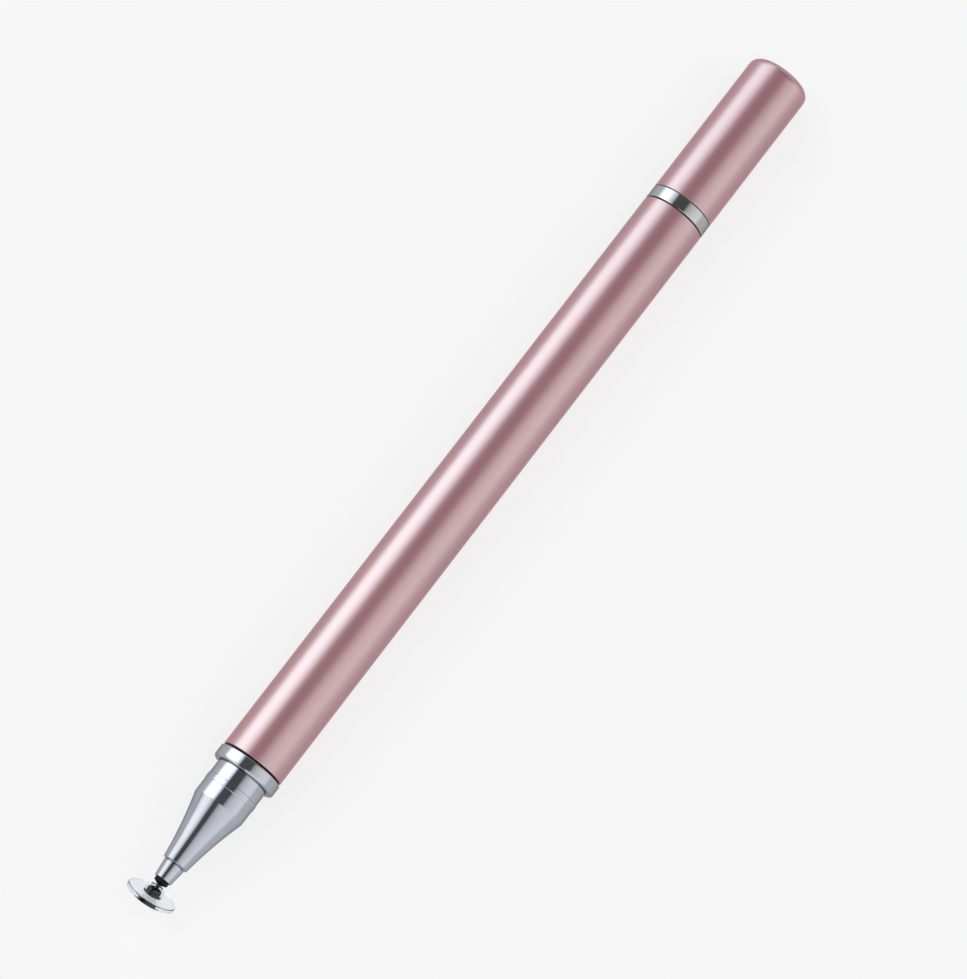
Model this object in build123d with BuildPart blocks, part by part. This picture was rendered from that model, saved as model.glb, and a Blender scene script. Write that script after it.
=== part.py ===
from build123d import *

import os
from math import cos, radians, sin, sqrt

os.makedirs("parts", exist_ok=True)

# A stylus pen lying on its side on the XY plane. The pen's axis runs along X, with the touch
# disc towards -X and the cap towards +X. The origin is under the middle of the pen's length.

# Barrel
barrel_od = 9.0
barrel_wall = 0.7
barrel_length = 91.7
barrel_chamfer = 0.12

# Nose: collar, cap spigot with a grip bead, and a flared cone
collar_overhang = 0.12
collar_length = 1.8
collar_edge = 0.2
spigot_length = 5.1
bead_height = 0.06
bead_width = 0.9
bead_setback = 2.1
cone_length = 9.05
cone_lip = 0.225
cone_flare = 0.19

# Threaded studs and the bushes that they screw into, as plain cylinders
stud_length = 8.0
stud_wall = 0.59
bush_wall = 0.77
bush_length = 8.0
bush_setback = 0.4

# Gaskets at the two ends of the barrel
front_gasket_thickness = 0.25
rear_gasket_thickness = 0.15
gasket_recess = 0.18

# Magnets in the two spigots
magnet_length = 4.0
magnet_setback = 0.6

# Tail ring and cap
ring_length = 1.8
ring_edge = 0.1
cap_wall = 0.45
cap_end_wall = 1.0
cap_end_fillet = 1.2
cap_mouth_chamfer = 0.1
keeper_wall = 0.22
keeper_setback = 0.4
keeper_overreach = 0.98
liner_wall = 0.4
liner_end_wall = 0.5

# Tip holder, its stem and its O-ring
holder_length = 2.6
holder_lip = 0.22
holder_taper = 0.32
holder_seat_depth = 0.3
stem_od = 2.2
nose_web = 1.75
o_ring_section = 0.36
o_ring_setback = 2.5
o_ring_groove_slack = 0.14

# Tip bush, ball pin and the collar that keeps the pin in
tip_bush_od = 2.0
tip_bush_exposed = 0.78
tip_bush_depth = 1.0
tip_bush_nose = 0.3
pin_od = 0.56
pin_collar_length = 0.6
ball_od = 1.04

# Touch disc, drooping about the ball by its own weight
disc_rim = 0.6
disc_rim_fillet = 0.1
disc_back_rise = 0.05
disc_face_web = 0.12
hub_wall = 0.516
hub_fillet = 0.1
hub_mouth_depth = 0.18
hub_mouth_flare = 0.15
disc_droop = 26.0

# Black cup in the disc that holds the ball
cup_wall = 0.07
cup_floor = 0.38
cup_flange = 0.217
cup_lip = 0.28
cup_mouth_depth = 0.14
cup_mouth_flare = 0.067

# Clearances
press_gap = 0.01
thread_gap = 0.02
slide_gap = 0.025
spin_gap = 0.04
ball_gap = 0.03
swing_gap = 0.2
pin_float = 0.1
pin_collar_gap = 0.26
stem_end_gap = 0.6
cap_gap = 0.08
cap_fit_gap = 0.04
disc_cap_gap = 0.19
tip_room = 1.5

# Radii of the barrel, and of the cap over its spigots
barrel_radius = barrel_od / 2
bore_radius = barrel_radius - barrel_wall
collar_radius = barrel_radius + collar_overhang
gasket_radius = barrel_radius - gasket_recess
cap_bore_radius = barrel_radius - cap_wall
keeper_radius = cap_bore_radius - press_gap
keeper_bore_radius = keeper_radius - keeper_wall
liner_bore_radius = keeper_radius - liner_wall
bead_radius = keeper_bore_radius - cap_fit_gap
spigot_radius = bead_radius - bead_height

# Radii of the bushes, the studs and the magnets, each inside the last
bush_radius = bore_radius - press_gap
bush_bore_radius = bush_radius - bush_wall
stud_radius = bush_bore_radius - thread_gap
magnet_bore_radius = stud_radius - stud_wall
magnet_radius = magnet_bore_radius - press_gap

# Radii of the tip, from the pin outwards
pin_radius = pin_od / 2
pin_bore_radius = pin_radius + spin_gap
pin_collar_bore_radius = pin_radius + press_gap
tip_bush_radius = tip_bush_od / 2
holder_bore_radius = tip_bush_radius + press_gap
pin_collar_radius = holder_bore_radius - pin_collar_gap
holder_front_radius = holder_bore_radius + holder_lip
holder_base_radius = holder_front_radius + holder_taper
holder_seat_radius = holder_base_radius + slide_gap
cone_tip_radius = holder_seat_radius + cone_lip
stem_radius = stem_od / 2
stem_bore_radius = stem_radius + slide_gap

# The ball's cup and the disc's hub around it, and the largest disc that the cap's liner passes
ball_radius = ball_od / 2
socket_radius = ball_radius + ball_gap
cup_radius = socket_radius + cup_wall
cup_flange_radius = cup_radius + cup_flange
cup_lip_radius = sqrt(socket_radius**2 - cup_lip**2)
cup_mouth_radius = cup_lip_radius + cup_mouth_flare
cup_rise = cup_lip + cup_mouth_depth
cup_pocket_radius = cup_radius + press_gap
flange_pocket_radius = cup_flange_radius + press_gap
hub_mouth_radius = cup_pocket_radius + hub_mouth_flare
hub_radius = hub_mouth_radius + hub_wall
hub_rise = cup_rise + hub_mouth_depth
ball_depth = socket_radius + cup_floor + disc_face_web
disc_radius = liner_bore_radius - disc_cap_gap

# How far the drooping disc reaches ahead of the ball's centre, and its hub behind it
droop = radians(disc_droop)
disc_reach = (
    (ball_depth - disc_rim_fillet) * cos(droop)
    + (disc_radius - disc_rim_fillet) * sin(droop)
    + disc_rim_fillet
)
hub_reach = hub_rise * cos(droop) + hub_radius * sin(droop)
ball_reach = hub_reach + swing_gap + tip_bush_exposed - tip_bush_nose

# Lengths that follow from what the pieces hold
tip_length = cone_length + holder_length + ball_reach + ball_depth
cap_length = spigot_length + tip_length + tip_room + liner_end_wall + cap_end_wall
keeper_length = spigot_length - cap_gap - keeper_setback + keeper_overreach
stem_bore_depth = cone_length + magnet_setback - nose_web
stem_length = stem_bore_depth - holder_seat_depth - stem_end_gap

# Stations along X, with the whole pen centred on the origin
nose_reach = front_gasket_thickness + collar_length + spigot_length + cone_length
tip_reach = holder_length + ball_reach + disc_reach
tail_reach = barrel_length + rear_gasket_thickness + ring_length + cap_gap + cap_length
barrel_front = (nose_reach + tip_reach - tail_reach) / 2
barrel_back = barrel_front + barrel_length
collar_back = barrel_front - front_gasket_thickness
collar_front = collar_back - collar_length
shoulder = collar_front - spigot_length
cone_tip = shoulder - cone_length
holder_front = cone_tip - holder_length
ball_centre = holder_front - ball_reach
ring_front = barrel_back + rear_gasket_thickness
ring_back = ring_front + ring_length
post_end = ring_back + spigot_length
cap_front = ring_back + cap_gap
cap_back = cap_front + cap_length
keeper_front = cap_front + keeper_setback
keeper_back = keeper_front + keeper_length

# The pen's axis and the half plane that turned profiles are drawn in
axis_height = max(collar_radius, barrel_radius)
pen_plane = Plane(origin=(0, 0, axis_height), x_dir=(1, 0, 0), z_dir=(0, -1, 0))
pen_axis = Axis((0, 0, axis_height), (1, 0, 0))


def facing(station, direction):
    return Plane(origin=(station, 0, axis_height), z_dir=(direction, 0, 0))


def round_edges(builder):
    circles = builder.edges().filter_by(GeomType.CIRCLE)
    return circles.filter_by(lambda edge: edge.is_closed)


def turned_ring(start, length, inner_radius, outer_radius):
    with BuildPart() as ring:
        with BuildSketch(pen_plane):
            with Locations((start, inner_radius)):
                Rectangle(length, outer_radius - inner_radius, align=(Align.MIN, Align.MIN))
        revolve(axis=pen_axis)
    return ring


# Barrel tube, with its outer edges broken
with BuildPart() as barrel_tube:
    with BuildSketch(pen_plane):
        with Locations((barrel_front, bore_radius)):
            Rectangle(barrel_length, barrel_wall, align=(Align.MIN, Align.MIN))
    revolve(axis=pen_axis)
    barrel_rims = round_edges(barrel_tube).group_by(SortBy.RADIUS)[-1]
    chamfer(barrel_rims, barrel_chamfer)
barrel_tube.part.label = "barrel_tube"
export_step(barrel_tube.part, "parts/barrel_tube.step")

# Threaded bushes pressed into the barrel's two ends
front_bush = turned_ring(barrel_front + bush_setback, bush_length, bush_bore_radius, bush_radius)
front_bush.part.label = "front_bush"
export_step(front_bush.part, "parts/front_bush.step")
rear_bush_start = barrel_back - bush_setback - bush_length
rear_bush = turned_ring(rear_bush_start, bush_length, bush_bore_radius, bush_radius)
rear_bush.part.label = "rear_bush"
export_step(rear_bush.part, "parts/rear_bush.step")

# Gaskets that show as dark lines at the barrel's ends
front_gasket = turned_ring(collar_back, front_gasket_thickness, bush_bore_radius, gasket_radius)
front_gasket.part.label = "front_gasket"
export_step(front_gasket.part, "parts/front_gasket.step")
rear_gasket = turned_ring(barrel_back, rear_gasket_thickness, bush_bore_radius, gasket_radius)
rear_gasket.part.label = "rear_gasket"
export_step(rear_gasket.part, "parts/rear_gasket.step")

# Nose cone: flared cone, spigot with its bead, collar and threaded stud
flare_middle = ((cone_tip + shoulder) / 2, (cone_tip_radius + spigot_radius) / 2 - cone_flare)
bead_back = collar_front - bead_setback
nose_stud_end = barrel_front + stud_length
nose_magnet_start = shoulder + magnet_setback
with BuildPart() as nose_cone:
    with BuildSketch(pen_plane):
        with BuildLine():
            Line((cone_tip, 0), (cone_tip, cone_tip_radius))
            ThreePointArc((cone_tip, cone_tip_radius), flare_middle, (shoulder, spigot_radius))
            Polyline(
                (shoulder, spigot_radius),
                (bead_back - bead_width, spigot_radius),
                (bead_back - bead_width + bead_height, bead_radius),
                (bead_back - bead_height, bead_radius),
                (bead_back, spigot_radius),
                (collar_front, spigot_radius),
                (collar_front, collar_radius),
                (collar_back, collar_radius),
                (collar_back, stud_radius),
                (nose_stud_end, stud_radius),
                (nose_stud_end, 0),
                (cone_tip, 0),
            )
        make_face()
    revolve(axis=pen_axis)
    collar_rims = round_edges(nose_cone).group_by(SortBy.RADIUS)[-1]
    fillet(collar_rims, collar_edge)
    with Locations(facing(cone_tip, -1)):
        CounterBoreHole(
            radius=stem_bore_radius,
            counter_bore_radius=holder_seat_radius,
            counter_bore_depth=holder_seat_depth,
            depth=stem_bore_depth,
        )
    with Locations(facing(nose_stud_end, 1)):
        Hole(radius=magnet_bore_radius, depth=nose_stud_end - nose_magnet_start)
nose_cone.part.label = "nose_cone"
export_step(nose_cone.part, "parts/nose_cone.step")

# Tail post: the bright ring, the cap's spigot with its bead, and a threaded stud
tail_stud_end = barrel_back - stud_length
tail_bead_front = ring_back + bead_setback
tail_magnet_start = post_end - magnet_length
with BuildPart() as tail_post:
    with BuildSketch(pen_plane):
        with BuildLine():
            Polyline(
                (tail_stud_end, 0),
                (tail_stud_end, stud_radius),
                (ring_front, stud_radius),
                (ring_front, barrel_radius),
                (ring_back, barrel_radius),
                (ring_back, spigot_radius),
                (tail_bead_front, spigot_radius),
                (tail_bead_front + bead_height, bead_radius),
                (tail_bead_front + bead_width - bead_height, bead_radius),
                (tail_bead_front + bead_width, spigot_radius),
                (post_end, spigot_radius),
                (post_end, 0),
                close=True,
            )
        make_face()
    revolve(axis=pen_axis)
    ring_rims = round_edges(tail_post).group_by(SortBy.RADIUS)[-1]
    fillet(ring_rims, ring_edge)
    with Locations(facing(post_end, 1)):
        Hole(radius=magnet_bore_radius, depth=magnet_length)
tail_post.part.label = "tail_post"
export_step(tail_post.part, "parts/tail_post.step")

# Magnets: one behind the nose cone, one flush in the tail post
nose_magnet = turned_ring(nose_magnet_start, magnet_length, 0, magnet_radius)
nose_magnet.part.label = "nose_magnet"
export_step(nose_magnet.part, "parts/nose_magnet.step")
tail_magnet = turned_ring(tail_magnet_start, magnet_length, 0, magnet_radius)
tail_magnet.part.label = "tail_magnet"
export_step(tail_magnet.part, "parts/tail_magnet.step")

# Cap shell: a drawn cup with a rounded closed end
with BuildPart() as cap_shell:
    with BuildSketch(pen_plane):
        with Locations((cap_front, 0)):
            Rectangle(cap_length, barrel_radius, align=(Align.MIN, Align.MIN))
    revolve(axis=pen_axis)
    cap_rims = round_edges(cap_shell).sort_by(Axis.X)
    fillet(cap_rims[-1], cap_end_fillet)
    chamfer(cap_rims[0], cap_mouth_chamfer)
    with Locations(facing(cap_front, -1)):
        Hole(radius=cap_bore_radius, depth=cap_length - cap_end_wall)
cap_shell.part.label = "cap_shell"
export_step(cap_shell.part, "parts/cap_shell.step")

# Steel keeper sleeve in the cap's mouth, drawn to the magnets
cap_keeper = turned_ring(keeper_front, keeper_length, keeper_bore_radius, keeper_radius)
cap_keeper.part.label = "cap_keeper"
export_step(cap_keeper.part, "parts/cap_keeper.step")

# Plastic liner cup behind the keeper
liner_back = cap_back - cap_end_wall
with BuildPart() as cap_liner:
    with BuildSketch(pen_plane):
        with Locations((keeper_back, 0)):
            Rectangle(liner_back - keeper_back, keeper_radius, align=(Align.MIN, Align.MIN))
    revolve(axis=pen_axis)
    with Locations(facing(keeper_back, -1)):
        Hole(radius=liner_bore_radius, depth=liner_back - keeper_back - liner_end_wall)
cap_liner.part.label = "cap_liner"
export_step(cap_liner.part, "parts/cap_liner.step")

# Tip holder: tapered sleeve that seats in the cone's end, with a stem and an O-ring groove
holder_back = cone_tip + holder_seat_depth
stem_end = holder_back + stem_length
o_ring_station = stem_end - o_ring_setback
o_ring_centre_radius = stem_bore_radius - press_gap - o_ring_section / 2
o_ring_groove_radius = o_ring_centre_radius - o_ring_section / 2 - press_gap
o_ring_groove_half = (o_ring_section + o_ring_groove_slack) / 2
holder_cavity_depth = tip_bush_depth + 2 * pin_float + pin_collar_length
with BuildPart() as tip_holder:
    with BuildSketch(pen_plane):
        with BuildLine():
            Polyline(
                (holder_front, 0),
                (holder_front, holder_front_radius),
                (cone_tip, holder_base_radius),
                (holder_back, holder_base_radius),
                (holder_back, stem_radius),
                (o_ring_station - o_ring_groove_half, stem_radius),
                (o_ring_station - o_ring_groove_half, o_ring_groove_radius),
                (o_ring_station + o_ring_groove_half, o_ring_groove_radius),
                (o_ring_station + o_ring_groove_half, stem_radius),
                (stem_end, stem_radius),
                (stem_end, 0),
                close=True,
            )
        make_face()
    revolve(axis=pen_axis)
    with Locations(facing(holder_front, -1)):
        Hole(radius=holder_bore_radius, depth=holder_cavity_depth)
tip_holder.part.label = "tip_holder"
export_step(tip_holder.part, "parts/tip_holder.step")

# O-ring that grips the nose cone's bore
with BuildPart() as holder_o_ring:
    with BuildSketch(pen_plane):
        with Locations((o_ring_station, o_ring_centre_radius)):
            Circle(o_ring_section / 2)
    revolve(axis=pen_axis)
holder_o_ring.part.label = "holder_o_ring"
export_step(holder_o_ring.part, "parts/holder_o_ring.step")

# Black bush in the holder's mouth, with a tapered nose
tip_bush_front = holder_front - tip_bush_exposed
tip_bush_back = holder_front + tip_bush_depth
with BuildPart() as tip_bush:
    with BuildSketch(pen_plane):
        with BuildLine():
            Polyline(
                (tip_bush_front, pin_bore_radius),
                (tip_bush_front + tip_bush_nose, tip_bush_radius),
                (tip_bush_back, tip_bush_radius),
                (tip_bush_back, pin_bore_radius),
                close=True,
            )
        make_face()
    revolve(axis=pen_axis)
tip_bush.part.label = "tip_bush"
export_step(tip_bush.part, "parts/tip_bush.step")

# Ball pin through the bush, and the collar pressed on behind it
pin_collar_start = tip_bush_back + pin_float
pin_end = pin_collar_start + pin_collar_length
with BuildPart() as ball_pin:
    with BuildSketch(pen_plane):
        with Locations((ball_centre, 0)):
            Rectangle(pin_end - ball_centre, pin_radius, align=(Align.MIN, Align.MIN))
    revolve(axis=pen_axis)
    with Locations((ball_centre, 0, axis_height)):
        Sphere(ball_radius)
ball_pin.part.label = "ball_pin"
export_step(ball_pin.part, "parts/ball_pin.step")
pin_collar = turned_ring(
    pin_collar_start, pin_collar_length, pin_collar_bore_radius, pin_collar_radius
)
pin_collar.part.label = "pin_collar"
export_step(pin_collar.part, "parts/pin_collar.step")

# Touch disc: a flat disc with a hub, and a stepped pocket for the ball's cup
disc_plane = Plane(
    origin=(ball_centre, 0, axis_height),
    x_dir=(cos(droop), 0, sin(droop)),
    z_dir=(0, -1, 0),
)
disc_axis = Axis(disc_plane.origin, disc_plane.x_dir)
rim_back = disc_rim - ball_depth
hub_foot = rim_back + disc_back_rise
cup_bottom = disc_face_web - ball_depth
with BuildPart() as tip_disc:
    with BuildSketch(disc_plane):
        with BuildLine():
            Polyline(
                (-ball_depth, 0),
                (-ball_depth, disc_radius),
                (rim_back, disc_radius),
                (hub_foot, hub_radius),
                (hub_rise, hub_radius),
                (hub_rise, 0),
                close=True,
            )
        make_face()
    revolve(axis=disc_axis)
    disc_edges = round_edges(tip_disc).group_by(SortBy.RADIUS)
    fillet(disc_edges[-1], disc_rim_fillet)
    hub_edges = round_edges(tip_disc).sort_by(disc_axis)
    fillet(hub_edges[-1], hub_fillet)
    with BuildSketch(disc_plane):
        with BuildLine():
            Polyline(
                (cup_bottom, 0),
                (cup_bottom, flange_pocket_radius),
                (rim_back, flange_pocket_radius),
                (rim_back, cup_pocket_radius),
                (cup_rise, cup_pocket_radius),
                (hub_rise, hub_mouth_radius),
                (hub_rise, 0),
                close=True,
            )
        make_face()
    revolve(axis=disc_axis, mode=Mode.SUBTRACT)
tip_disc.part.label = "tip_disc"
export_step(tip_disc.part, "parts/tip_disc.step")

# Black cup around the ball: a flange held in the disc, a round socket and a flared mouth
with BuildPart() as ball_cup:
    with BuildSketch(disc_plane):
        with BuildLine():
            Polyline(
                (cup_bottom + press_gap, 0),
                (cup_bottom + press_gap, cup_flange_radius),
                (rim_back - press_gap, cup_flange_radius),
                (rim_back - press_gap, cup_radius),
                (cup_rise, cup_radius),
                (cup_rise, cup_mouth_radius),
                (cup_lip, cup_lip_radius),
                (cup_lip, 0),
                close=True,
            )
        make_face()
    revolve(axis=disc_axis)
    with Locations((ball_centre, 0, axis_height)):
        Sphere(socket_radius, mode=Mode.SUBTRACT)
ball_cup.part.label = "ball_cup"
export_step(ball_cup.part, "parts/ball_cup.step")
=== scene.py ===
import math

import bmesh
import bpy
from mathutils import Matrix, Vector


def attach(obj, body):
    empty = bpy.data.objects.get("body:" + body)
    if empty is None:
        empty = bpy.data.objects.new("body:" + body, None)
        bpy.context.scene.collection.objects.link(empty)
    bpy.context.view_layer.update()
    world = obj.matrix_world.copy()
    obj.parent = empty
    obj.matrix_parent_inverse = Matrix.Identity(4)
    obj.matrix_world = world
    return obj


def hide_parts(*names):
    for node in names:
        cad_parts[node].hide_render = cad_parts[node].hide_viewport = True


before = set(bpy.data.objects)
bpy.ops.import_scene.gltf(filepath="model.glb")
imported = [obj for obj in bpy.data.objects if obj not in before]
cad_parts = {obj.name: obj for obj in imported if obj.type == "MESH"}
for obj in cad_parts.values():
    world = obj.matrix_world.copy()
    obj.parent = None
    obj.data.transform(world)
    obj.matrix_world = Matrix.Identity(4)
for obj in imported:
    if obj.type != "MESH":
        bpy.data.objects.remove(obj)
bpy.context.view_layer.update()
scene = bpy.context.scene
scene.view_settings.view_transform = "Standard"
mm = 0.001
axisHeight = 4.62  # the pen's axis above the table, set by its collar
print("frame loaded:", len(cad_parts), "nodes")


# Camera: looking down along the pen from the disc's side
cameraSetup = {
    "azimuth": -53.5,
    "elevation": 74.0,
    "focalPixels": 5200.0,
    "pixelsPerMm": 7.689,
    "aim": (3.55, 0.0, axisHeight),  # this point of the axis lands on aimPixel
    "aimPixel": (485.5, 461.1),
    "picture": (967, 979),
    "sensor": 36.0,
    "nearest": 0.01,
}


def addCamera(setup):
    turn, lift = math.radians(setup["azimuth"]), math.radians(setup["elevation"])
    level = math.cos(lift)
    towards = Vector((math.sin(turn) * level, -math.cos(turn) * level, math.sin(lift)))
    right = Vector((0, 0, 1)).cross(towards).normalized()
    up = towards.cross(right)
    wide, high = setup["picture"]
    perMm = setup["pixelsPerMm"]
    aside = (setup["aimPixel"][0] - wide / 2) / perMm
    above = (high / 2 - setup["aimPixel"][1]) / perMm
    centre = Vector(setup["aim"]) - right * aside - up * above
    place = (centre + towards * setup["focalPixels"] / perMm) * mm
    data = bpy.data.cameras.new("photoCamera")
    data.sensor_width = setup["sensor"]
    data.lens = setup["focalPixels"] * setup["sensor"] / max(wide, high)
    data.clip_start = setup["nearest"]
    camera = bpy.data.objects.new("photoCamera", data)
    turned = Matrix((right, up, towards)).transposed().to_4x4()
    camera.matrix_world = Matrix.Translation(place) @ turned
    scene.collection.objects.link(camera)
    scene.camera = camera


addCamera(cameraSetup)
print("camera placed")


# A finish starts from one shader and the piece's own coordinates, centred on the pen's axis
def startFinish(name):
    finish = bpy.data.materials.new(name)
    finish.use_nodes = True
    nodes, links = finish.node_tree.nodes, finish.node_tree.links
    shader = nodes["Principled BSDF"]
    where = nodes.new("ShaderNodeTexCoord")
    centred = nodes.new("ShaderNodeMapping")
    centred.inputs["Location"].default_value = (0, 0, -axisHeight * mm)
    links.new(where.outputs["Object"], centred.inputs["Vector"])
    return finish, nodes, links, shader, centred.outputs["Vector"]


def addMath(nodes, links, operation, *values):
    # each value is a number or another node's output
    node = nodes.new("ShaderNodeMath")
    node.operation = operation
    for socket, value in zip(node.inputs, values):
        if isinstance(value, float):
            socket.default_value = value
        else:
            links.new(value, socket)
    return node.outputs["Value"]


def addNoise(nodes, links, vector, perMm, detail):
    noise = nodes.new("ShaderNodeTexNoise")
    noise.inputs["Scale"].default_value = perMm / mm  # bumps per millimetre
    noise.inputs["Detail"].default_value = detail
    links.new(vector, noise.inputs["Vector"])
    return noise.outputs["Fac"]


def addTurningLines(nodes, links, vector, perMm, radiusWeight=1.7, detail=3.0):
    # fine lathe lines: they follow the length on a round wall and the radius on an end face
    parts = nodes.new("ShaderNodeSeparateXYZ")
    links.new(vector, parts.inputs["Vector"])
    flat = nodes.new("ShaderNodeCombineXYZ")
    links.new(parts.outputs["Y"], flat.inputs["Y"])
    links.new(parts.outputs["Z"], flat.inputs["Z"])
    radius = nodes.new("ShaderNodeVectorMath")
    radius.operation = "LENGTH"
    links.new(flat.outputs["Vector"], radius.inputs[0])
    along = addMath(nodes, links, "MULTIPLY_ADD", radius.outputs["Value"], radiusWeight, parts.outputs["X"])
    lines = nodes.new("ShaderNodeTexNoise")
    lines.noise_dimensions = "1D"
    lines.inputs["Scale"].default_value = perMm / mm
    lines.inputs["Detail"].default_value = detail
    links.new(along, lines.inputs["W"])
    return lines.outputs["Fac"]


def spread(nodes, links, value, low, high, fromLow=0.3, fromHigh=0.7):
    ranged = nodes.new("ShaderNodeMapRange")
    ranged.inputs["From Min"].default_value = fromLow
    ranged.inputs["From Max"].default_value = fromHigh
    ranged.inputs["To Min"].default_value = low
    ranged.inputs["To Max"].default_value = high
    links.new(value, ranged.inputs["Value"])
    return ranged.outputs["Result"]


def addRamp(nodes, links, value, stops, easing="LINEAR"):
    # each stop is a place from 0 to 1 and a tone
    ramp = nodes.new("ShaderNodeValToRGB")
    ramp.color_ramp.interpolation = easing
    marks = ramp.color_ramp.elements
    marks[0].position, marks[1].position = stops[0][0], stops[-1][0]
    marks[0].color, marks[1].color = (*stops[0][1], 1), (*stops[-1][1], 1)
    for place, tone in stops[1:-1]:
        marks.new(place).color = (*tone, 1)
    links.new(value, ramp.inputs["Fac"])
    return ramp.outputs["Color"]


def blendTones(nodes, links, value, toneA, toneB, fromLow=0.3, fromHigh=0.7):
    return addRamp(nodes, links, value, ((fromLow, toneA), (fromHigh, toneB)))


def raiseBump(nodes, links, shader, height, microns):
    bump = nodes.new("ShaderNodeBump")
    bump.inputs["Distance"].default_value = microns * mm * mm
    links.new(height, bump.inputs["Height"])
    links.new(bump.outputs["Normal"], shader.inputs["Normal"])


# Rose anodised aluminium: a dyed satin skin under a strong whitish gloss, over fine blasting
roseLook = {
    "tones": ((0.325, 0.093, 0.127), (0.353, 0.102, 0.138)),
    "roughness": (0.28, 0.33),
    "glossIor": 3.3,
    # the low gloss seen aslant is painted shade at the edges
    "gloss": (0.5, 0.12),  # seen head on and seen aslant
    "aslant": (0.28, 0.70),
    "cloudPerMm": 0.12,
    "grainPerMm": 8.0,
    "grainMicrons": 0.5,
}


def makeRoseAnodised(look):
    finish, nodes, links, shader, vector = startFinish("roseAnodised")
    cloud = addNoise(nodes, links, vector, look["cloudPerMm"], detail=3.0)
    grain = addNoise(nodes, links, vector, look["grainPerMm"], detail=2.0)
    links.new(blendTones(nodes, links, cloud, *look["tones"]), shader.inputs["Base Color"])
    links.new(spread(nodes, links, grain, *look["roughness"]), shader.inputs["Roughness"])
    shader.inputs["IOR"].default_value = look["glossIor"]
    # the gloss falls away where the surface is seen aslant: painted shade that darkens the silhouette edges
    facing = nodes.new("ShaderNodeLayerWeight").outputs["Facing"]
    gloss = spread(nodes, links, facing, *look["gloss"], *look["aslant"])
    links.new(gloss, shader.inputs["Specular IOR Level"])
    raiseBump(nodes, links, shader, grain, look["grainMicrons"])
    return finish


# Bright plating: smooth chrome with faint lathe lines and handling marks
chromeLook = {
    "tones": ((0.385, 0.400, 0.455), (0.415, 0.430, 0.485)),
    "edgeTint": 0.45,
    "roughness": (0.07, 0.13),
    "smudgePerMm": 0.35,
    "linesPerMm": 9.0,
    "linesMicrons": 0.25,
}
# the tail's plating is less blue
tailLook = {**chromeLook, "tones": ((0.405, 0.408, 0.420), (0.435, 0.438, 0.450))}


def makeChrome(name, look):
    finish, nodes, links, shader, vector = startFinish(name)
    smudge = addNoise(nodes, links, vector, look["smudgePerMm"], detail=4.0)
    lines = addTurningLines(nodes, links, vector, look["linesPerMm"])
    links.new(blendTones(nodes, links, smudge, *look["tones"]), shader.inputs["Base Color"])
    links.new(spread(nodes, links, smudge, *look["roughness"]), shader.inputs["Roughness"])
    shader.inputs["Metallic"].default_value = 1.0
    shader.inputs["Specular Tint"].default_value = (look["edgeTint"],) * 3 + (1,)
    raiseBump(nodes, links, shader, lines, look["linesMicrons"])
    return finish


# Clear moulded plastic for the disc
clearLook = {
    "tones": ((0.845, 0.850, 0.920), (0.875, 0.880, 0.940)),
    "gloss": 0.20,
    "roughness": (0.015, 0.045),
    "ior": 1.49,
    "ripplePerMm": 0.5,
    "rippleMicrons": 1.2,
}


def makeClearPlastic(look):
    finish, nodes, links, shader, vector = startFinish("clearPlastic")
    flow = addNoise(nodes, links, vector, look["ripplePerMm"], detail=2.0)
    links.new(blendTones(nodes, links, flow, *look["tones"]), shader.inputs["Base Color"])
    links.new(spread(nodes, links, flow, *look["roughness"]), shader.inputs["Roughness"])
    shader.inputs["Transmission Weight"].default_value = 1.0
    shader.inputs["IOR"].default_value = look["ior"]
    shader.inputs["Specular IOR Level"].default_value = look["gloss"]
    raiseBump(nodes, links, shader, flow, look["rippleMicrons"])
    return finish


# Plain finishes: two tones, a roughness range, and either lathe lines or a moulded grain
plainCloudPerMm = 0.6
plainLooks = {
    "blackPin": {"tones": ((0.003, 0.003, 0.004), (0.007, 0.007, 0.009)), "metallic": 0.0, "gloss": 0.3,
                 "roughness": (0.24, 0.36), "linesPerMm": 40.0, "microns": 0.08},
    "blackRubber": {"tones": ((0.003, 0.003, 0.004), (0.008, 0.008, 0.009)), "metallic": 0.0, "gloss": 0.15,
                    "roughness": (0.50, 0.70), "grainPerMm": 9.0, "microns": 3.0},
    "blackCup": {"tones": ((0.002, 0.002, 0.003), (0.005, 0.005, 0.006)), "metallic": 0.0, "gloss": 0.03,
                 "roughness": (0.50, 0.65), "grainPerMm": 2.0, "microns": 0.3},
    "blackLiner": {"tones": ((0.012, 0.012, 0.014), (0.024, 0.024, 0.026)), "metallic": 0.0, "gloss": 0.5,
                   "roughness": (0.38, 0.55), "grainPerMm": 5.0, "microns": 4.0},
    "turnedBrass": {"tones": ((0.55, 0.37, 0.14), (0.68, 0.47, 0.19)), "metallic": 1.0, "gloss": 0.5,
                    "roughness": (0.20, 0.34), "linesPerMm": 9.0, "microns": 2.0},
    "nickelMagnet": {"tones": ((0.50, 0.48, 0.44), (0.60, 0.58, 0.54)), "metallic": 1.0, "gloss": 0.5,
                     "roughness": (0.14, 0.26), "grainPerMm": 3.0, "microns": 1.0},
    "springSteel": {"tones": ((0.38, 0.38, 0.40), (0.52, 0.52, 0.54)), "metallic": 1.0, "gloss": 0.5,
                    "roughness": (0.24, 0.40), "linesPerMm": 7.0, "microns": 1.5},
}


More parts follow.
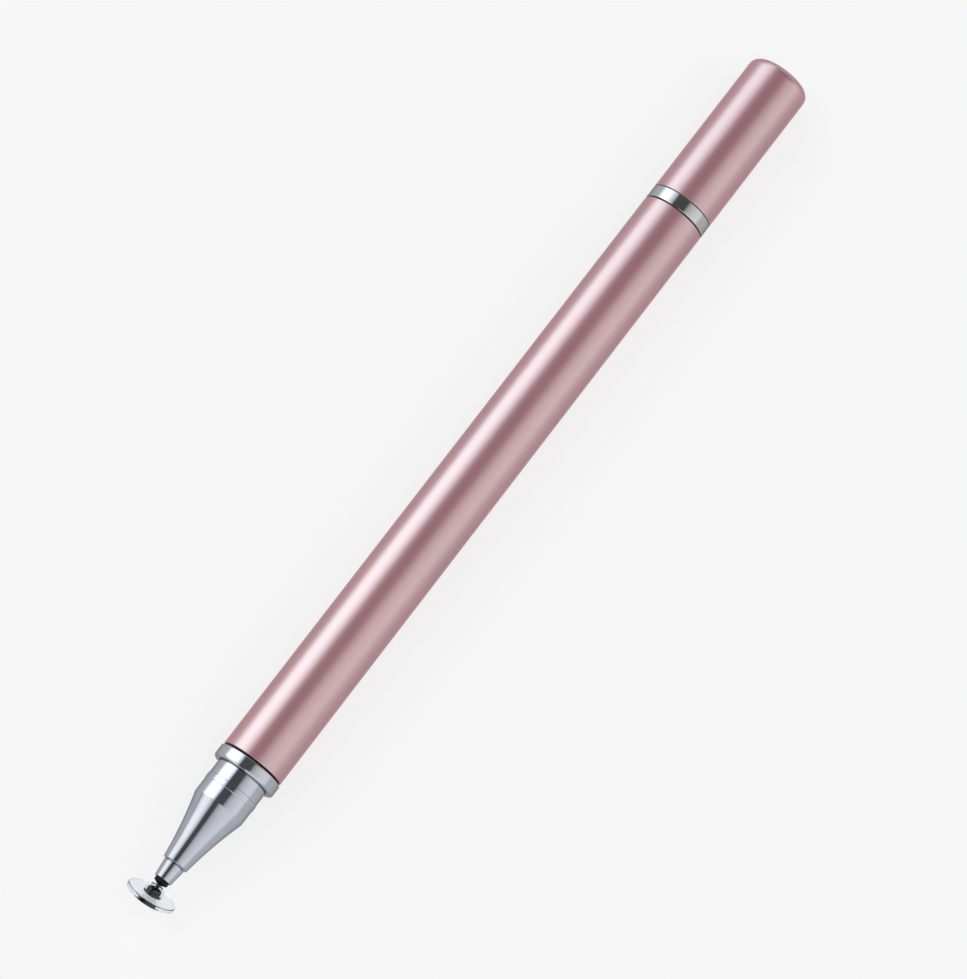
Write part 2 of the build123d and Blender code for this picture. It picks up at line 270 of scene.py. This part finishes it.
def makePlain(name, look):
    finish, nodes, links, shader, vector = startFinish(name)
    cloud = addNoise(nodes, links, vector, plainCloudPerMm, detail=3.0)
    if "linesPerMm" in look:
        surface = addTurningLines(nodes, links, vector, look["linesPerMm"])
    else:
        surface = addNoise(nodes, links, vector, look["grainPerMm"], detail=3.0)
    links.new(blendTones(nodes, links, cloud, *look["tones"]), shader.inputs["Base Color"])
    links.new(spread(nodes, links, surface, *look["roughness"]), shader.inputs["Roughness"])
    shader.inputs["Metallic"].default_value = look["metallic"]
    shader.inputs["Specular IOR Level"].default_value = look["gloss"]
    raiseBump(nodes, links, shader, surface, look["microns"])
    return finish


finishes = {name: makePlain(name, look) for name, look in plainLooks.items()}
finishes["roseAnodised"] = makeRoseAnodised(roseLook)
finishes["brightPlating"] = makeChrome("brightPlating", chromeLook)
finishes["tailPlating"] = makeChrome("tailPlating", tailLook)
finishes["clearPlastic"] = makeClearPlastic(clearLook)
print("finishes made:", len(finishes))


# Turning tree: spins a drawn profile (length along x, radius along y) about its axis
seamGap = 1e-6  # points nearer than this are one


def buildTurningTree():
    tree = bpy.data.node_groups.new("turnedOnAxis", "GeometryNodeTree")
    sockets = {}
    for name, kind in (("Profile", "Geometry"), ("Steps Round", "Int"), ("Centre", "Vector"),
                       ("Droop", "Float"), ("Crease", "Float"), ("Finish", "Material")):
        socket = tree.interface.new_socket(name, in_out="INPUT", socket_type="NodeSocket" + kind)
        sockets[name] = socket.identifier
    tree.interface.new_socket("Turned", in_out="OUTPUT", socket_type="NodeSocketGeometry")
    nodes, links = tree.nodes, tree.links

    def add(kind, **settings):
        node = nodes.new(kind)
        for key, value in settings.items():
            setattr(node, key, value)
        return node

    given = add("NodeGroupInput")
    size = add("GeometryNodeAttributeDomainSize", component="MESH")
    links.new(given.outputs["Profile"], size.inputs["Geometry"])
    columns = add("FunctionNodeIntegerMath", operation="ADD")
    links.new(given.outputs["Steps Round"], columns.inputs[0])
    columns.inputs[1].default_value = 1
    grid = add("GeometryNodeMeshGrid")
    links.new(size.outputs["Point Count"], grid.inputs["Vertices X"])
    links.new(columns.outputs[0], grid.inputs["Vertices Y"])

    # each grid row is one profile point, each column one step round
    index = add("GeometryNodeInputIndex")
    row = add("FunctionNodeIntegerMath", operation="DIVIDE_FLOOR")
    column = add("FunctionNodeIntegerMath", operation="MODULO")
    for node in (row, column):
        links.new(index.outputs[0], node.inputs[0])
        links.new(columns.outputs[0], node.inputs[1])
    place = add("GeometryNodeInputPosition")
    sample = add("GeometryNodeSampleIndex", data_type="FLOAT_VECTOR", domain="POINT")
    links.new(given.outputs["Profile"], sample.inputs["Geometry"])
    links.new(place.outputs[0], sample.inputs["Value"])
    links.new(row.outputs[0], sample.inputs["Index"])
    drawn = add("ShaderNodeSeparateXYZ")
    links.new(sample.outputs[0], drawn.inputs[0])
    turn = add("ShaderNodeMath", operation="MULTIPLY")
    links.new(column.outputs[0], turn.inputs[0])
    turn.inputs[1].default_value = 2 * math.pi
    angle = add("ShaderNodeMath", operation="DIVIDE")
    links.new(turn.outputs[0], angle.inputs[0])
    links.new(given.outputs["Steps Round"], angle.inputs[1])
    spun = add("ShaderNodeCombineXYZ")
    links.new(drawn.outputs["X"], spun.inputs["X"])
    for operation, axis in (("COSINE", "Y"), ("SINE", "Z")):
        wave = add("ShaderNodeMath", operation=operation)
        links.new(angle.outputs[0], wave.inputs[0])
        reach = add("ShaderNodeMath", operation="MULTIPLY")
        links.new(drawn.outputs["Y"], reach.inputs[0])
        links.new(wave.outputs[0], reach.inputs[1])
        links.new(reach.outputs[0], spun.inputs[axis])
    tilted = add("ShaderNodeVectorRotate", rotation_type="Y_AXIS")
    links.new(spun.outputs[0], tilted.inputs["Vector"])
    links.new(given.outputs["Droop"], tilted.inputs["Angle"])
    moved = add("ShaderNodeVectorMath", operation="ADD")
    links.new(tilted.outputs[0], moved.inputs[0])
    links.new(given.outputs["Centre"], moved.inputs[1])
    bent = add("GeometryNodeSetPosition")
    links.new(grid.outputs["Mesh"], bent.inputs["Geometry"])
    links.new(moved.outputs[0], bent.inputs["Position"])

    # close the seam and the poles, then keep crisp corners crisp
    closed = add("GeometryNodeMergeByDistance")
    closed.inputs["Distance"].default_value = seamGap
    links.new(bent.outputs[0], closed.inputs["Geometry"])
    smooth = add("GeometryNodeSetShadeSmooth", domain="FACE")
    links.new(closed.outputs[0], smooth.inputs["Geometry"])
    corner = add("GeometryNodeInputMeshEdgeAngle")
    sharp = add("ShaderNodeMath", operation="GREATER_THAN")
    links.new(corner.outputs["Unsigned Angle"], sharp.inputs[0])
    links.new(given.outputs["Crease"], sharp.inputs[1])
    crisp = add("GeometryNodeSetShadeSmooth", domain="EDGE")
    links.new(smooth.outputs[0], crisp.inputs["Geometry"])
    links.new(sharp.outputs[0], crisp.inputs["Selection"])
    crisp.inputs["Shade Smooth"].default_value = False
    whole = add("GeometryNodeRealizeInstances")
    links.new(crisp.outputs[0], whole.inputs[0])
    painted = add("GeometryNodeSetMaterial")
    links.new(whole.outputs[0], painted.inputs["Geometry"])
    links.new(given.outputs["Finish"], painted.inputs["Material"])
    out = add("NodeGroupOutput")
    links.new(painted.outputs[0], out.inputs[0])
    return tree, sockets


turningTree, turningSockets = buildTurningTree()


# A profile is a list of (length, radius) or (length, radius, rounding) in millimetres
def roundedProfile(points, steps=6, holdShare=0.2):
    drawn = []
    for i, point in enumerate(points):
        here = Vector(point[:2])
        rounding = point[2] if len(point) > 2 else 0
        if not rounding:
            drawn.append(here)
            continue
        before = (Vector(points[i - 1][:2]) - here).normalized()
        after = (Vector(points[i + 1][:2]) - here).normalized()
        half = before.angle(after) / 2
        centre = here + (before + after).normalized() * rounding / math.sin(half)
        start = here + before * rounding / math.tan(half) - centre
        end = here + after * rounding / math.tan(half) - centre
        sweep = start.angle_signed(end)
        hold = rounding * holdShare  # a point either side keeps the flats beside a rounding flat in shading
        drawn.append(centre + start + before * hold)
        for k in range(steps + 1):
            drawn.append(centre + Matrix.Rotation(-sweep * k / steps, 2) @ start)
        drawn.append(centre + end + after * hold)
    return drawn


def throughArc(a, b, c, steps):
    # points of the circle through a, b and c, from a to c
    (ax, ay), (bx, by), (cx, cy) = a, b, c
    d = 2 * (ax * (by - cy) + bx * (cy - ay) + cx * (ay - by))
    sa, sb, sc = ax * ax + ay * ay, bx * bx + by * by, cx * cx + cy * cy
    ux = (sa * (by - cy) + sb * (cy - ay) + sc * (ay - by)) / d
    uy = (sa * (cx - bx) + sb * (ax - cx) + sc * (bx - ax)) / d
    size = math.hypot(ax - ux, ay - uy)
    first, last = math.atan2(ay - uy, ax - ux), math.atan2(cy - uy, cx - ux)
    return [(ux + size * math.cos(first + (last - first) * k / steps),
             uy + size * math.sin(first + (last - first) * k / steps)) for k in range(steps + 1)]


def ballArc(centre, radius, sweep, steps):
    # points of a circle about a point of the axis, from its front pole round by the sweep
    angles = [sweep * k / steps for k in range(steps + 1)]
    return [(centre - radius * math.cos(t), radius * math.sin(t)) for t in angles]


def turnPiece(name, profile, finish, body, node, ring=False, centre=(0, 0, axisHeight), droop=0.0,
              stepsRound=160, crease=0.5):
    points = [Vector(p[:2]) for p in profile]
    if ring:
        points.append(points[0])
    mesh = bpy.data.meshes.new(name + "Profile")
    mesh.from_pydata([(p.x * mm, p.y * mm, 0) for p in points],
                     [(i, i + 1) for i in range(len(points) - 1)], [])
    drawn = bpy.data.objects.new(name + "Profile", mesh)
    scene.collection.objects.link(drawn)
    turning = drawn.modifiers.new("turning", "NODES")
    turning.node_group = turningTree
    turning[turningSockets["Steps Round"]] = stepsRound
    turning[turningSockets["Centre"]] = [c * mm for c in centre]
    turning[turningSockets["Droop"]] = math.radians(-droop)
    turning[turningSockets["Crease"]] = crease
    turning[turningSockets["Finish"]] = finishes[finish]
    depsgraph = bpy.context.evaluated_depsgraph_get()
    turned = bpy.data.meshes.new_from_object(drawn.evaluated_get(depsgraph))
    bpy.data.objects.remove(drawn)
    faces = bmesh.new()
    faces.from_mesh(turned)
    bmesh.ops.recalc_face_normals(faces, faces=faces.faces)
    faces.to_mesh(turned)
    faces.free()
    turned.name = name
    piece = bpy.data.objects.new(name, turned)
    scene.collection.objects.link(piece)
    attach(piece, body)
    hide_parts(node)
    print(name, len(turned.polygons), "faces")


# Barrel: plain satin tube with broken edges
barrel = {"front": -46.6538, "back": 45.0462, "radius": 4.5, "bore": 3.8, "edge": 0.12}
turnPiece("barrelTube", roundedProfile([
    (barrel["front"], barrel["bore"]),
    (barrel["front"], barrel["radius"], barrel["edge"]),
    (barrel["back"], barrel["radius"], barrel["edge"]),
    (barrel["back"], barrel["bore"]),
]), "roseAnodised", "pen", "barrel_tube", ring=True, stepsRound=192)

# Threaded bushes pressed into its ends
bushes = {"radius": 3.79, "bore": 3.02, "edge": 0.15,
          "spans": {"front": (-46.2538, -38.2538), "rear": (36.6462, 44.6462)}}
for end, (start, stop) in bushes["spans"].items():
    turnPiece(end + "Bush", roundedProfile([
        (start, bushes["bore"], bushes["edge"]),
        (start, bushes["radius"], bushes["edge"]),
        (stop, bushes["radius"], bushes["edge"]),
        (stop, bushes["bore"]),
    ]), "turnedBrass", "pen", end + "_bush", ring=True)

# Gaskets: thin black washers set back at the barrel's ends, whose black also serves as painted shade in the
# seams there
gasketsAndSeamShade = {"radius": 4.32, "bore": 3.02, "edge": 0.04,
           "spans": {"front": (-46.9038, -46.6538), "rear": (45.0462, 45.1962)}}
for end, (start, stop) in gasketsAndSeamShade["spans"].items():
    turnPiece(end + "Gasket", roundedProfile([
        (start, gasketsAndSeamShade["bore"]),
        (start, gasketsAndSeamShade["radius"], gasketsAndSeamShade["edge"]),
        (stop, gasketsAndSeamShade["radius"], gasketsAndSeamShade["edge"]),
        (stop, gasketsAndSeamShade["bore"]),
    ]), "blackRubber", "pen", end + "_gasket", ring=True)

# Nose: flared cone, spigot with its bead, collar and stud, with the bores for tip and magnet
nose = {"tip": -62.8538, "tipRadius": 1.8, "tipEdge": 0.03, "flare": (-58.3288, 2.57), "flareSteps": 48,
        "shoulder": -53.8038, "shoulderEdge": 0.05, "spigot": 3.72,
        "bead": (-51.7038, -50.8038), "beadRadius": 3.78, "beadEdge": 0.03,
        "collar": (-48.7038, -46.9038), "collarRadius": 4.62, "collarEdges": (0.35, 0.2),
        "stud": 3.0, "studEnd": -38.6538, "studEdge": 0.2, "magnetBore": 2.41, "magnetStart": -53.2038,
        "stemBore": 1.125, "stemBoreEnd": -54.9538,
        "seatRadius": 1.575, "seatBack": -62.5538, "seatBevel": 0.05}
flare = throughArc((nose["tip"], nose["tipRadius"]), nose["flare"], (nose["shoulder"], nose["spigot"]),
                   nose["flareSteps"])
beadSlope = nose["beadRadius"] - nose["spigot"]
turnPiece("noseCone", roundedProfile([
    (nose["stemBoreEnd"], 0),
    (nose["stemBoreEnd"], nose["stemBore"]),
    (nose["seatBack"], nose["stemBore"]),
    (nose["seatBack"], nose["seatRadius"]),
    (nose["tip"] + nose["seatBevel"], nose["seatRadius"]),
    (nose["tip"], nose["seatRadius"] + nose["seatBevel"]),
    (nose["tip"], nose["tipRadius"], nose["tipEdge"]),
    *flare[1:-1],
    (nose["shoulder"], nose["spigot"], nose["shoulderEdge"]),
    (nose["bead"][0], nose["spigot"]),
    (nose["bead"][0] + beadSlope, nose["beadRadius"], nose["beadEdge"]),
    (nose["bead"][1] - beadSlope, nose["beadRadius"], nose["beadEdge"]),
    (nose["bead"][1], nose["spigot"]),
    (nose["collar"][0], nose["spigot"]),
    (nose["collar"][0], nose["collarRadius"], nose["collarEdges"][0]),
    (nose["collar"][1], nose["collarRadius"], nose["collarEdges"][1]),
    (nose["collar"][1], nose["stud"]),
    (nose["studEnd"], nose["stud"], nose["studEdge"]),
    (nose["studEnd"], nose["magnetBore"]),
    (nose["magnetStart"], nose["magnetBore"]),
    (nose["magnetStart"], 0),
]), "brightPlating", "pen", "nose_cone", stepsRound=192)

# Tail: the bright ring, the cap's spigot with its bead, and a stud
tail = {"ring": (45.1962, 46.9962), "radius": 4.5, "edge": 0.1,
        "spigot": 3.72, "end": 52.0962, "endEdge": 0.15,
        "bead": (49.0962, 49.9962), "beadRadius": 3.78, "beadEdge": 0.03,
        "stud": 3.0, "studEnd": 37.0462, "studEdge": 0.2,
        "magnetBore": 2.41, "magnetStart": 48.0962, "boreEdge": 0.06}
turnPiece("tailPost", roundedProfile([
    (tail["studEnd"], 0),
    (tail["studEnd"], tail["stud"], tail["studEdge"]),
    (tail["ring"][0], tail["stud"]),
    (tail["ring"][0], tail["radius"], tail["edge"]),
    (tail["ring"][1], tail["radius"], tail["edge"]),
    (tail["ring"][1], tail["spigot"]),
    (tail["bead"][0], tail["spigot"]),
    (tail["bead"][0] + beadSlope, tail["beadRadius"], tail["beadEdge"]),
    (tail["bead"][1] - beadSlope, tail["beadRadius"], tail["beadEdge"]),
    (tail["bead"][1], tail["spigot"]),
    (tail["end"], tail["spigot"], tail["endEdge"]),
    (tail["end"], tail["magnetBore"], tail["boreEdge"]),
    (tail["magnetStart"], tail["magnetBore"]),
    (tail["magnetStart"], 0),
]), "tailPlating", "pen", "tail_post", stepsRound=192)

# Magnets in the two spigots
magnets = {"radius": 2.4, "edge": 0.12,
           "spans": {"nose": (-53.2038, -49.2038), "tail": (48.0962, 52.0962)}}
for end, (start, stop) in magnets["spans"].items():
    turnPiece(end + "Magnet", roundedProfile([
        (start, 0),
        (start, magnets["radius"], magnets["edge"]),
        (stop, magnets["radius"], magnets["edge"]),
        (stop, 0),
    ]), "nickelMagnet", "pen", end + "_magnet")

# Cap: drawn shell with a rounded end, its steel keeper and its liner
cap = {"front": 47.0762, "back": 69.6635, "radius": 4.5, "bore": 4.05, "inside": 68.6635,
       "boreEdge": 0.06, "mouthEdge": 0.1, "endRound": 1.2, "roundSteps": 12}
turnPiece("capShell", roundedProfile([
    (cap["inside"], 0),
    (cap["inside"], cap["bore"]),
    (cap["front"], cap["bore"], cap["boreEdge"]),
    (cap["front"], cap["radius"], cap["mouthEdge"]),
    (cap["back"], cap["radius"], cap["endRound"]),
    (cap["back"], 0),
], steps=cap["roundSteps"]), "roseAnodised", "cap", "cap_shell", stepsRound=192)

keeper = {"front": 47.4762, "back": 53.0762, "radius": 4.04, "bore": 3.82, "edge": 0.06}
turnPiece("capKeeper", roundedProfile([
    (keeper["front"], keeper["bore"], keeper["edge"]),
    (keeper["front"], keeper["radius"], keeper["edge"]),
    (keeper["back"], keeper["radius"]),
    (keeper["back"], keeper["bore"]),
]), "springSteel", "cap", "cap_keeper", ring=True)

liner = {"front": 53.0762, "back": 68.6635, "inside": 68.1635, "radius": 4.04, "bore": 3.64,
         "insideRound": 0.6, "mouthEdge": 0.1}
turnPiece("capLiner", roundedProfile([
    (liner["inside"], 0),
    (liner["inside"], liner["bore"], liner["insideRound"]),
    (liner["front"], liner["bore"], liner["mouthEdge"]),
    (liner["front"], liner["radius"]),
    (liner["back"], liner["radius"]),
    (liner["back"], 0),
]), "blackLiner", "cap", "cap_liner")

# Tip holder: tapered sleeve with a stem and the groove for its O-ring
holder = {"front": -65.4538, "frontRadius": 1.23, "coneTip": -62.8538, "baseRadius": 1.55, "back": -62.5538,
          "edge": 0.05, "relief": 0.13, "stem": 1.1, "stemEnd": -55.5538, "stemEdge": 0.2,
          "groove": (-58.3038, -57.8038), "grooveRadius": 0.745,
          "bore": 1.01, "boreEnd": -63.6538, "boreEdge": 0.03}
holderTaper = (holder["baseRadius"] - holder["frontRadius"]) / (holder["coneTip"] - holder["front"])
turnPiece("tipHolder", roundedProfile([
    (holder["boreEnd"], 0),
    (holder["boreEnd"], holder["bore"]),
    (holder["front"], holder["bore"], holder["boreEdge"]),
    (holder["front"], holder["frontRadius"], holder["edge"]),
    (holder["coneTip"] - 2 * holder["relief"], holder["baseRadius"] - 2 * holder["relief"] * holderTaper),
    (holder["coneTip"] - holder["relief"], holder["baseRadius"] - holder["relief"]),
    (holder["coneTip"], holder["baseRadius"]),
    (holder["back"], holder["baseRadius"], holder["edge"]),
    (holder["back"], holder["stem"]),
    (holder["groove"][0], holder["stem"], holder["edge"]),
    (holder["groove"][0], holder["grooveRadius"]),
    (holder["groove"][1], holder["grooveRadius"]),
    (holder["groove"][1], holder["stem"], holder["edge"]),
    (holder["stemEnd"], holder["stem"], holder["stemEdge"]),
    (holder["stemEnd"], 0),
]), "brightPlating", "tip_unit", "tip_holder")

oRing = {"station": -58.0538, "radius": 0.935, "section": 0.36, "steps": 32}
turnPiece("holderORing", [
    (oRing["station"] + oRing["section"] / 2 * math.cos(t),
     oRing["radius"] + oRing["section"] / 2 * math.sin(t))
    for t in [2 * math.pi * k / oRing["steps"] for k in range(oRing["steps"])]
], "blackRubber", "tip_unit", "holder_o_ring", ring=True, stepsRound=96)

# Bush in the holder's mouth
bush = {"front": -66.2338, "full": -65.9338, "back": -64.4538, "radius": 1.0, "bore": 0.32,
        "boreEdge": 0.03, "edge": 0.06}
turnPiece("tipBush", roundedProfile([
    (bush["front"], bush["bore"], bush["boreEdge"]),
    (bush["full"], bush["radius"], bush["edge"]),
    (bush["back"], bush["radius"]),
    (bush["back"], bush["bore"]),
]), "blackRubber", "tip_unit", "tip_bush", ring=True, stepsRound=96)

# Ball pin and the collar behind its bush
pin = {"ball": -67.2412, "ballRadius": 0.52, "ballSteps": 36, "radius": 0.28, "end": -63.7538,
       "endEdge": 0.08, "straightEnd": 1.0}
neckAngle = math.asin(pin["radius"] / pin["ballRadius"])
ball = ballArc(pin["ball"], pin["ballRadius"], math.pi - neckAngle, pin["ballSteps"])
turnPiece("ballPin", ball + roundedProfile([
    (pin["end"] - pin["straightEnd"], pin["radius"]),
    (pin["end"], pin["radius"], pin["endEdge"]),
    (pin["end"], 0),
]), "blackPin", "pin", "ball_pin", stepsRound=96)

pinCollar = {"span": (-64.3538, -63.7538), "bore": 0.29, "radius": 0.75, "edge": 0.08}
turnPiece("pinCollar", roundedProfile([
    (pinCollar["span"][0], pinCollar["bore"]),
    (pinCollar["span"][0], pinCollar["radius"], pinCollar["edge"]),
    (pinCollar["span"][1], pinCollar["radius"], pinCollar["edge"]),
    (pinCollar["span"][1], pinCollar["bore"]),
]), "springSteel", "pin", "pin_collar", ring=True, stepsRound=96)

# Touch disc, drawn about the ball and drooping under its own weight
disc = {"face": -1.05, "radius": 3.45, "rimBack": -0.45, "edge": 0.1,
        "hubFoot": -0.40, "footRound": 0.05, "hubRadius": 1.296, "hubTop": 0.60, "hubEdge": 0.04,
        "hubMouth": 0.78, "mouthEdge": 0.03, "pocketBottom": -0.93, "pocketTop": 0.42,
        "flangePocket": 0.847, "cupPocket": 0.63, "droop": 26.0}
turnPiece("touchDisc", roundedProfile([
    (disc["face"], 0),
    (disc["face"], disc["radius"], disc["edge"]),
    (disc["rimBack"], disc["radius"], disc["edge"]),
    (disc["hubFoot"], disc["hubRadius"], disc["footRound"]),
    (disc["hubTop"], disc["hubRadius"], disc["hubEdge"]),
    (disc["hubTop"], disc["hubMouth"], disc["mouthEdge"]),
    (disc["pocketTop"], disc["cupPocket"]),
    (disc["rimBack"], disc["cupPocket"]),
    (disc["rimBack"], disc["flangePocket"]),
    (disc["pocketBottom"], disc["flangePocket"]),
    (disc["pocketBottom"], 0),
]), "clearPlastic", "disc", "tip_disc",
    centre=(pin["ball"], 0, axisHeight), droop=disc["droop"])

# Black cup moulded into the disc: it bites a hair into the clear wall, so no gap shows round it
cup = {"bite": 0.002, "socket": 0.55, "lip": 0.28, "mouth": 0.5404, "top": 0.42, "socketSteps": 32}
bite = cup["bite"]
lipAngle = math.acos(cup["lip"] / cup["socket"])
socket = ballArc(0, cup["socket"], math.pi - lipAngle, cup["socketSteps"])
turnPiece("ballCup", socket + roundedProfile([
    (cup["top"], cup["mouth"]),
    (cup["top"], disc["cupPocket"] + bite),
    (disc["rimBack"] + bite, disc["cupPocket"] + bite),
    (disc["rimBack"] + bite, disc["flangePocket"] + bite),
    (disc["pocketBottom"] - bite, disc["flangePocket"] + bite),
    (disc["pocketBottom"] - bite, 0),
]), "blackCup", "disc", "ball_cup",
    centre=(pin["ball"], 0, axisHeight), droop=disc["droop"], stepsRound=96)
print("pieces turned")


# Studio: a pale table, a long soft box, a card across from it, a light on each long side and a graded sky
studio = {
    "table": {"size": 6.0, "colour": 0.90, "roughness": 0.9, "glow": 0.75},
    "softBox": {"strength": 3.4, "foot": 0.85, "fade": (0.13, 0.70),
                "tones": ((-0.06, (0.60, 0.59, 0.565)), (0.03, (0.92, 0.99, 1.0)),
                          (0.16, (0.92, 0.99, 1.0)), (0.36, (0.58, 0.60, 0.66))),
                "x": (-1.4, 1.4), "y": (0.60, 0.60), "tops": (1.8, 1.8)},
    "card": {"strength": 1.5, "foot": 1.15, "fade": (0.05, 1.0),
             "tones": ((-0.34, (1.0, 1.0, 1.0)), (1.4, (1.0, 1.0, 1.0))),
             "x": (-0.34, 1.4), "y": (-0.002, -1.55), "tops": (0.85, 3.9)},
    "sideLights": {"strength": 1.15, "lean": 36.0, "spread": 70.0},
    "sky": {"horizon": (0.05, 0.95), "high": (0.55, 0.13)},  # each a height and a grey
}


def makeTable(setup):
    bpy.ops.mesh.primitive_plane_add(size=setup["size"])
    table = bpy.context.object
    table.name = "table"
    paint = bpy.data.materials.new("tablePaint")
    paint.use_nodes = True
    nodes, links = paint.node_tree.nodes, paint.node_tree.links
    shader = nodes["Principled BSDF"]
    shader.inputs["Base Color"].default_value = (setup["colour"],) * 3 + (1,)
    shader.inputs["Roughness"].default_value = setup["roughness"]
    shader.inputs["Specular IOR Level"].default_value = 0.0
    # the white of the backdrop, for the camera, for metal and for clear plastic alike
    path = nodes.new("ShaderNodeLightPath").outputs
    seen = addMath(nodes, links, "MAXIMUM", path["Is Camera Ray"], path["Is Glossy Ray"])
    seen = addMath(nodes, links, "MAXIMUM", seen, path["Is Transmission Ray"])
    white = nodes.new("ShaderNodeEmission")
    mixed = nodes.new("ShaderNodeMixShader")
    links.new(addMath(nodes, links, "MULTIPLY", seen, setup["glow"]), mixed.inputs[0])
    links.new(shader.outputs[0], mixed.inputs[1])
    links.new(white.outputs[0], mixed.inputs[2])
    links.new(mixed.outputs[0], nodes["Material Output"].inputs["Surface"])
    table.data.materials.append(paint)


def makeGlowingSheet(name, setup):
    mesh = bpy.data.meshes.new(name)
    (x0, x1), (y0, y1), (top0, top1) = setup["x"], setup["y"], setup["tops"]
    mesh.from_pydata([(x0, y0, 0), (x1, y1, 0), (x1, y1, top1), (x0, y0, top0)], [], [(0, 1, 2, 3)])
    sheet = bpy.data.objects.new(name, mesh)
    scene.collection.objects.link(sheet)
    glow = bpy.data.materials.new(name)
    glow.use_nodes = True
    nodes, links = glow.node_tree.nodes, glow.node_tree.links
    nodes.remove(nodes["Principled BSDF"])
    where = nodes.new("ShaderNodeTexCoord")
    parts = nodes.new("ShaderNodeSeparateXYZ")
    links.new(where.outputs["Object"], parts.inputs[0])
    # dims towards its foot and fades to nothing at its top, by the share of its height there
    height = spread(nodes, links, parts.outputs["X"], top0, top1, x0, x1)
    share = addMath(nodes, links, "DIVIDE", parts.outputs["Z"], height)
    up = spread(nodes, links, share, setup["foot"] / setup["strength"], 1.0, 0.0, setup["fade"][0])
    down = spread(nodes, links, share, 1.0, 0.0, 1 - setup["fade"][1], 1.0)
    faded = addMath(nodes, links, "MULTIPLY", up, down)
    light = nodes.new("ShaderNodeEmission")
    links.new(addMath(nodes, links, "MULTIPLY", faded, setup["strength"]), light.inputs["Strength"])
    # its tone changes along the pen
    first, last = setup["tones"][0][0], setup["tones"][-1][0]
    stops = [((x - first) / (last - first), tone) for x, tone in setup["tones"]]
    along = spread(nodes, links, parts.outputs["X"], 0.0, 1.0, first, last)
    links.new(addRamp(nodes, links, along, stops), light.inputs["Color"])
    links.new(light.outputs[0], nodes["Material Output"].inputs["Surface"])
    mesh.materials.append(glow)
    sheet.visible_camera = False
    sheet.visible_diffuse = False
    sheet.visible_shadow = False


def addSideLights(setup):
    # one from each long side, for the soft shade on the table and on satin surfaces
    for name, side in (("leftLight", 1), ("rightLight", -1)):
        data = bpy.data.lights.new(name, "SUN")
        data.energy = setup["strength"]
        data.angle = math.radians(setup["spread"])
        lamp = bpy.data.objects.new(name, data)
        lamp.rotation_euler = (math.radians(-side * setup["lean"]), 0, 0)
        scene.collection.objects.link(lamp)
        lamp.visible_glossy = False


def paintSky(setup):
    world = bpy.data.worlds.new("studioSky")
    scene.world = world
    world.use_nodes = True
    nodes, links = world.node_tree.nodes, world.node_tree.links
    where = nodes.new("ShaderNodeTexCoord")
    parts = nodes.new("ShaderNodeSeparateXYZ")
    links.new(where.outputs["Generated"], parts.inputs[0])
    stops = [(height, (grey,) * 3) for height, grey in (setup["horizon"], setup["high"])]
    tone = addRamp(nodes, links, parts.outputs["Z"], stops, "EASE")
    links.new(tone, nodes["Background"].inputs["Color"])


makeTable(studio["table"])
makeGlowingSheet("softBox", studio["softBox"])
makeGlowingSheet("paleCard", studio["card"])
addSideLights(studio["sideLights"])
paintSky(studio["sky"])
print("studio lit")
